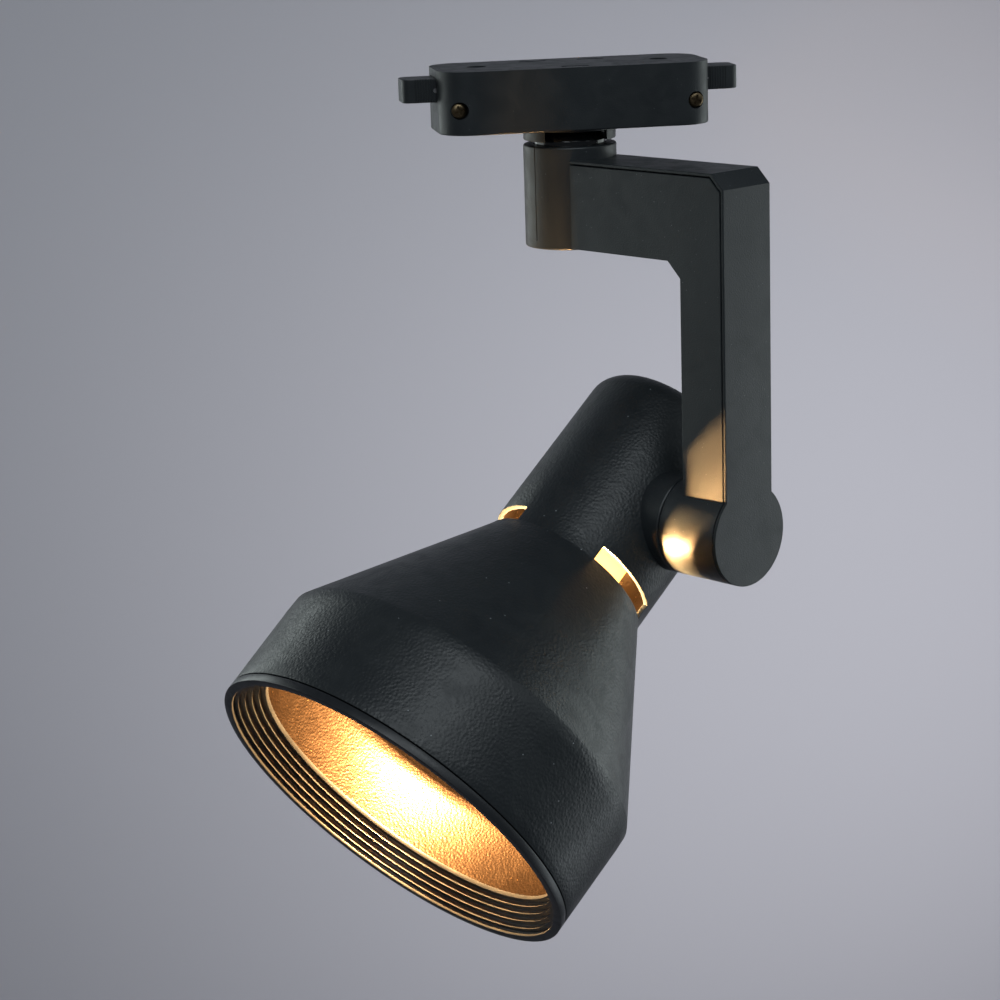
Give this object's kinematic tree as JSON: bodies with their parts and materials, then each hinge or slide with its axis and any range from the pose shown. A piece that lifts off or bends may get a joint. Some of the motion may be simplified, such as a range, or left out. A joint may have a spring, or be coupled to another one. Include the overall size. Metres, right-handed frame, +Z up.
{
  "type": "track spotlight",
  "caption": "Bell-shaped spotlight head on a cranked swivel arm, hung from a track adapter, with a ribbed baffle ring at its mouth.",
  "frame": {"origin": "centre of the adapter's top face, which meets the underside of the track, on the swivel axis", "axes": "+X along the track, +Z up into the track, +Y across it"},
  "size_m": [0.1697, 0.1468, 0.2577],
  "materials": {
    "powder_coat": "fine satin powder coat",
    "shade_enamel": "grained satin enamel",
    "black_moulding": "fine satin moulding",
    "gloss_black": "gloss",
    "carrier_plastic": "matte",
    "contact_brass": "satin",
    "dark_brass": "dulled",
    "steel": "zinc plated",
    "spring_steel": "bright",
    "lead_sheath": "matte",
    "ceramic": "glazed ceramic",
    "cap_metal": "bright",
    "cap_glass": "black glass",
    "frosted_glass": "frosted"
  },
  "bodies": {
    "adapter": {"adapter_housing": "black_moulding", "adapter_lid": "black_moulding", "contact_carrier": "carrier_plastic", "live_contact": "contact_brass", "neutral_contact": "contact_brass", "earth_contact": "contact_brass", "adapter_side_screws": "dark_brass", "latch_spring_left": "spring_steel", "latch_spring_right": "spring_steel", "swivel_stem": "steel", "stop_ring": "black_moulding", "stem_nut_upper": "steel", "swivel_friction_washer": "steel", "stop_washer": "steel", "stem_nut_lower": "steel"},
    "left_tab": {"latch_tab_left": "black_moulding", "latch_pin_left": "steel"},
    "right_tab": {"latch_tab_right": "black_moulding", "latch_pin_right": "steel"},
    "arm": {"swivel_collar": "gloss_black", "arm_body": "powder_coat", "arm_cover": "powder_coat", "barrel_cover": "powder_coat", "barrel_cover_screw": "steel", "arm_cover_screws": "steel", "arm_leads": "lead_sheath", "knuckle_ring": "powder_coat"},
    "head": {"head_boss": "powder_coat", "pivot_bolt": "steel", "pivot_saddle": "steel", "pivot_friction_washer": "steel", "pivot_spring_washer": "spring_steel", "pivot_nut": "steel", "head_leads": "lead_sheath", "shade_shell": "shade_enamel", "baffle_ring": "black_moulding", "holder_bracket": "steel", "lampholder_body": "ceramic", "lampholder_sleeve": "cap_metal", "lampholder_contact": "contact_brass", "holder_screws": "steel", "bulb_cap": "cap_metal", "bulb_tip": "cap_glass", "bulb_glass": "frosted_glass"}
  },
  "joints": [
    {"name": "swivel", "type": "hinge", "parent": "adapter", "child": "arm", "pos_m": [0, 0, -0.02405], "axis": [0, 0, 1], "range_deg": [-113, 224]},
    {"name": "tilt", "type": "hinge", "parent": "arm", "child": "head", "pos_m": [0, 0, -0.13625], "axis": [-0.5664, 0.8241, 0], "range_deg": [-143.2, 36.8]},
    {"name": "left_tab_slide", "type": "slide", "parent": "adapter", "child": "left_tab", "axis": [1, 0, 0], "range_m": [0, 0.004], "stiffness_N_per_m": 900, "springref_m": -0.003, "deforming": ["latch_spring_left"]},
    {"name": "right_tab_slide", "type": "slide", "parent": "adapter", "child": "right_tab", "axis": [-1, 0, 0], "range_m": [0, 0.004], "stiffness_N_per_m": 900, "springref_m": -0.003, "deforming": ["latch_spring_right"]}
  ]
}
